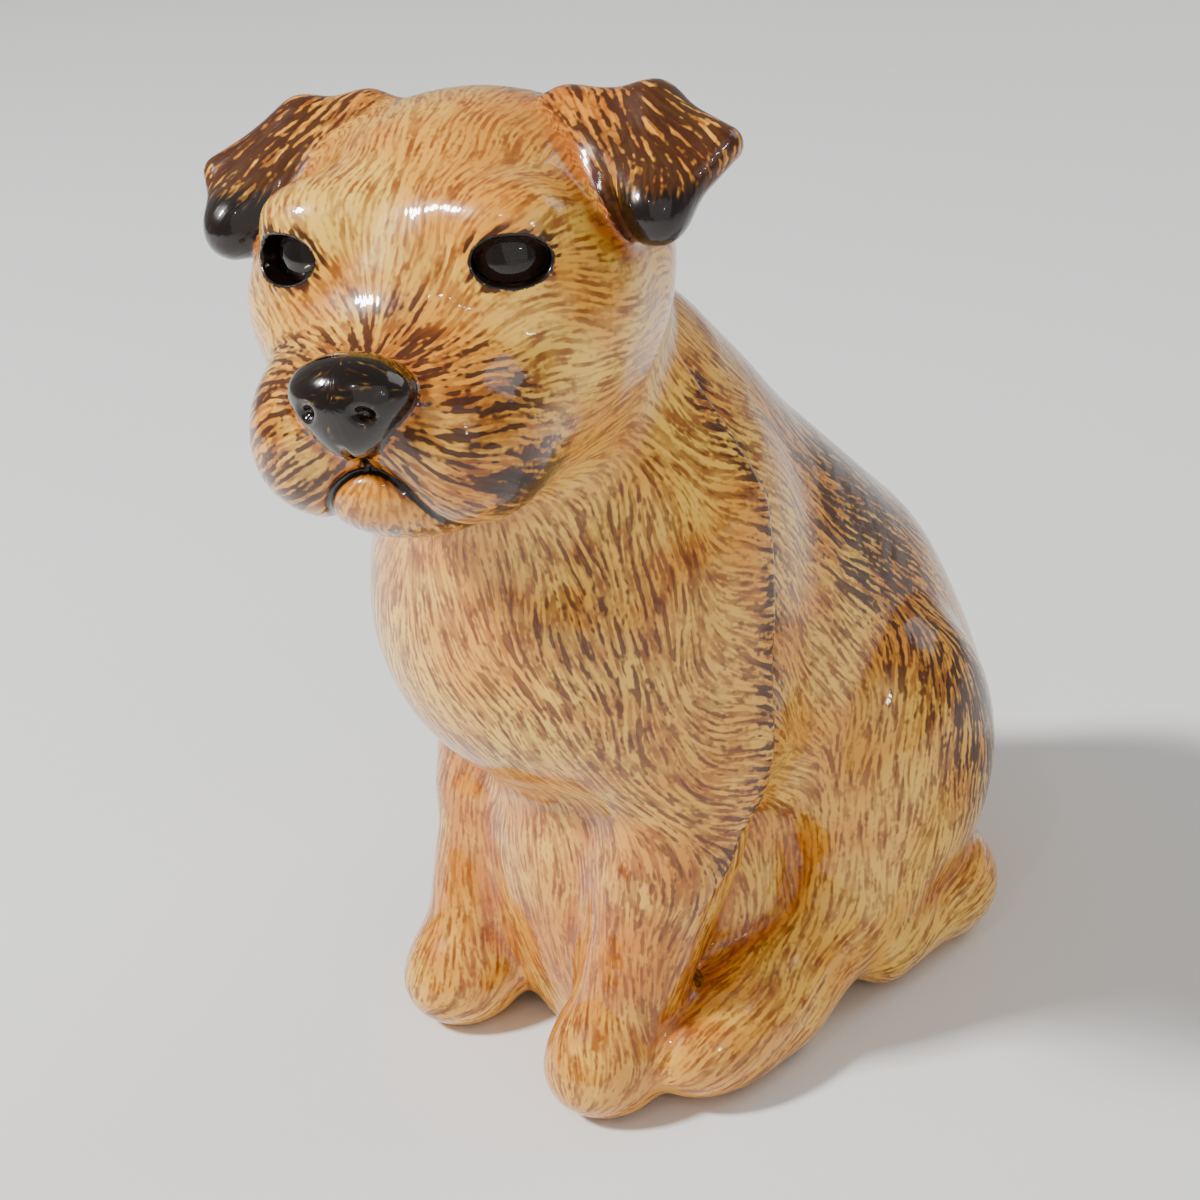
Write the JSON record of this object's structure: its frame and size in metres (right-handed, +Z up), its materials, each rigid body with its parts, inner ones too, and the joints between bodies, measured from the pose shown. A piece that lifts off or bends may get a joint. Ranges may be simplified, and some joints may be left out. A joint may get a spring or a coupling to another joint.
{
  "type": "ceramic dog figurine",
  "caption": "Seated terrier figurine in hand-painted, gloss-glazed earthenware, hollow, with its head turned to its left and glass eyes.",
  "frame": {"origin": "middle of the figurine's bounding box, on the surface it stands on", "axes": "+Z up, the dog's body faces -Y, and its left side is at +X"},
  "size_m": [0.1294, 0.2126, 0.2572],
  "materials": {
    "coat_glaze": "gloss clear glaze over hand-brushed honey and brown coat strokes",
    "ear_glaze": "gloss clear glaze over dense dark brown strokes",
    "nose_glaze": "gloss dark brown glaze",
    "eye_glass": "polished clear glass",
    "iris_paint": "brown iris with a black pupil, painted on the back of the eye"
  },
  "bodies": {
    "root": {"body_shell": "coat_glaze", "head_shell": "coat_glaze", "nose": "nose_glaze", "left_ear": "ear_glaze", "right_ear": "ear_glaze", "left_foreleg": "coat_glaze", "right_foreleg": "coat_glaze", "left_hind_leg": "coat_glaze", "right_hind_leg": "coat_glaze", "tail": "coat_glaze", "left_eye_glass": "eye_glass", "right_eye_glass": "eye_glass", "left_eye_iris": "iris_paint", "right_eye_iris": "iris_paint"}
  },
  "joints": []
}
